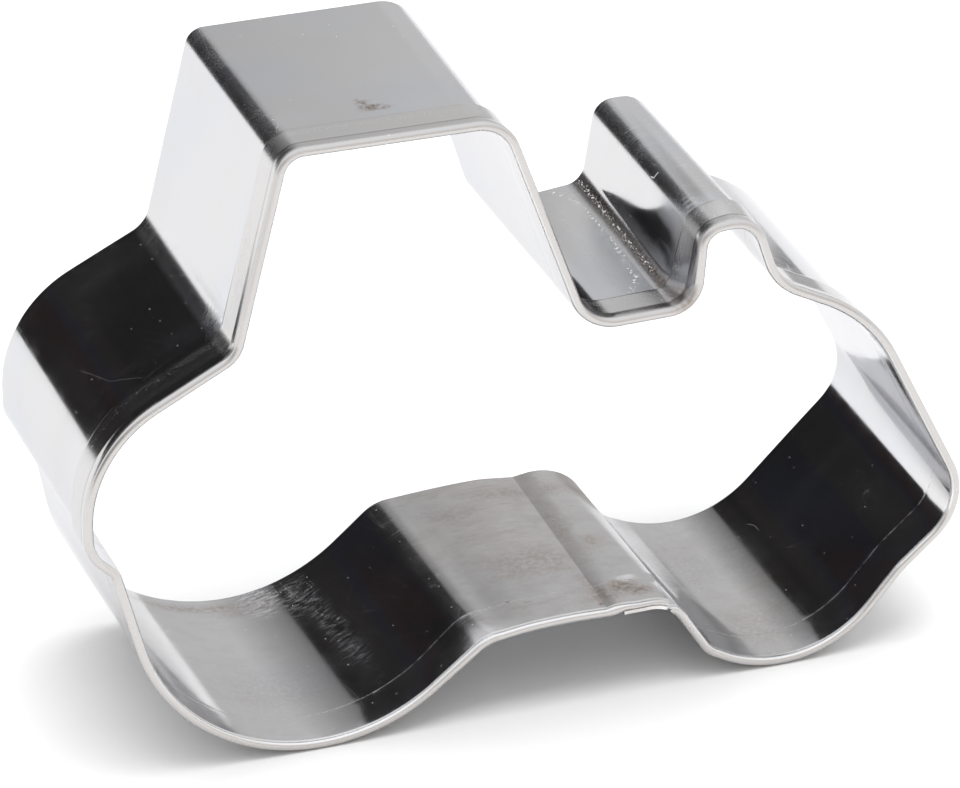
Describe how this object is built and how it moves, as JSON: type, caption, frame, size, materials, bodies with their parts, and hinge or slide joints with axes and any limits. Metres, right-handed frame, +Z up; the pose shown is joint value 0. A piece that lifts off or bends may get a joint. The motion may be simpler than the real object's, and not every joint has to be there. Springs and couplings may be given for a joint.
{
  "type": "tractor cookie cutter",
  "caption": "Thin stainless steel strip bent into a tractor outline, with a rolled hem on one edge, a cutting edge on the other, and lapped ends spot-welded under the belly.",
  "frame": {"origin": "on the plane that the wheels stand on, under the middle of the tractor's length and of the strip's width", "axes": "+X towards the tractor's nose, +Y from the rolled edge towards the cutting edge, +Z up"},
  "size_m": [0.0748, 0.025, 0.054],
  "materials": {
    "stainless_steel": "bright polished sheet with fine scratches and scuffed bends",
    "weld_metal": "resistance weld nugget, straw heat tint"
  },
  "bodies": {
    "root": {"steel_band": "stainless_steel", "weld_at_rolled_edge": "weld_metal", "weld_in_middle": "weld_metal", "weld_at_cutting_edge": "weld_metal"}
  },
  "joints": []
}
